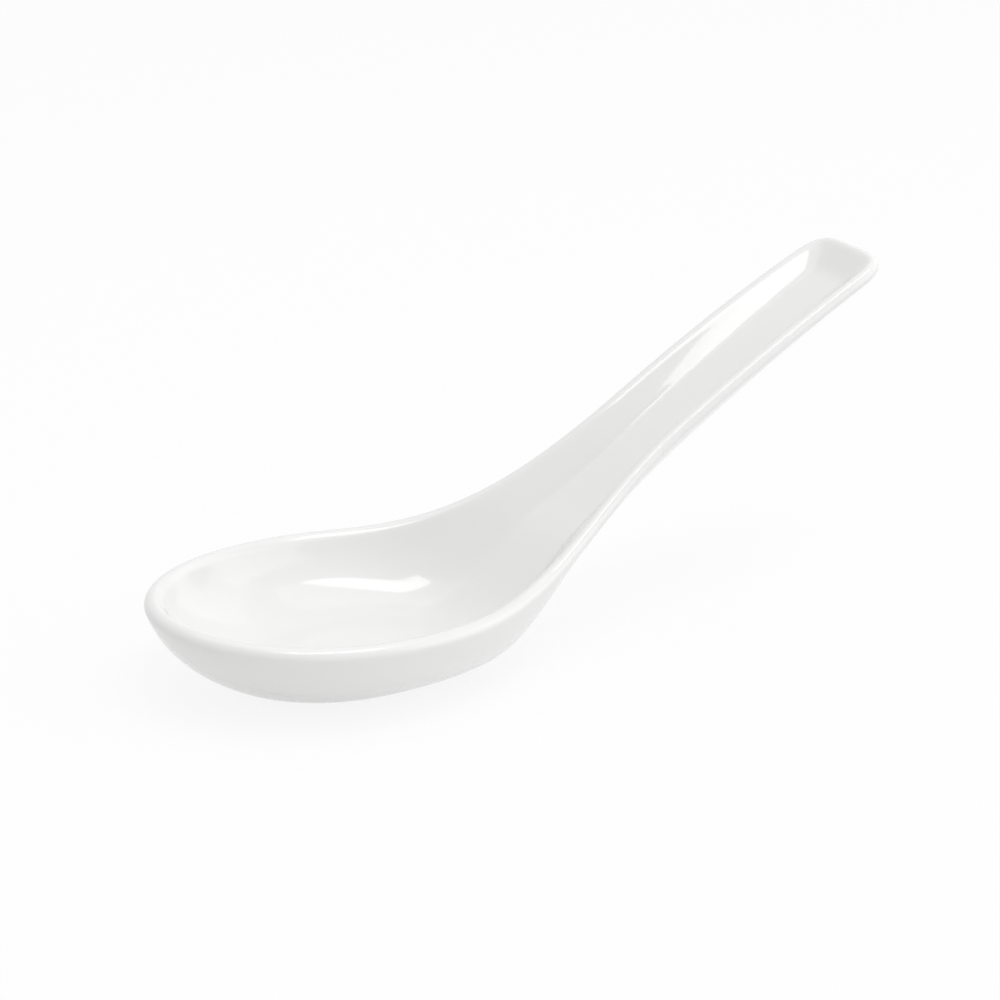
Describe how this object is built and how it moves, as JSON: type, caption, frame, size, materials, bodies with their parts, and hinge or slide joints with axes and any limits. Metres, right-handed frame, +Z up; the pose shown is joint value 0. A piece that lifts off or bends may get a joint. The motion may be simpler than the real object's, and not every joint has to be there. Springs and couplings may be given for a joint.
{
  "type": "soup spoon",
  "caption": "White glazed porcelain soup spoon with a deep egg-shaped bowl, a low oval foot and a straight channelled handle that rises to a square walled end.",
  "frame": {"origin": "the middle of the foot ring's resting face, on the table", "axes": "+X runs along the spoon from the bowl to the handle, +Z is up, and +Y is across the spoon, which is the same on both sides of y = 0"},
  "size_m": [0.139, 0.051, 0.0639],
  "materials": {
    "porcelain": "white fired body, seen only through the glaze",
    "bare_foot": "bare, matte, ground smooth",
    "glaze": "glossy clear glaze over white",
    "well_glaze": "glossy clear glaze over white"
  },
  "bodies": {
    "root": {"porcelain_body": "porcelain", "foot_ring": "bare_foot", "glaze_coat": "glaze", "foot_well_glaze": "well_glaze"}
  },
  "joints": []
}
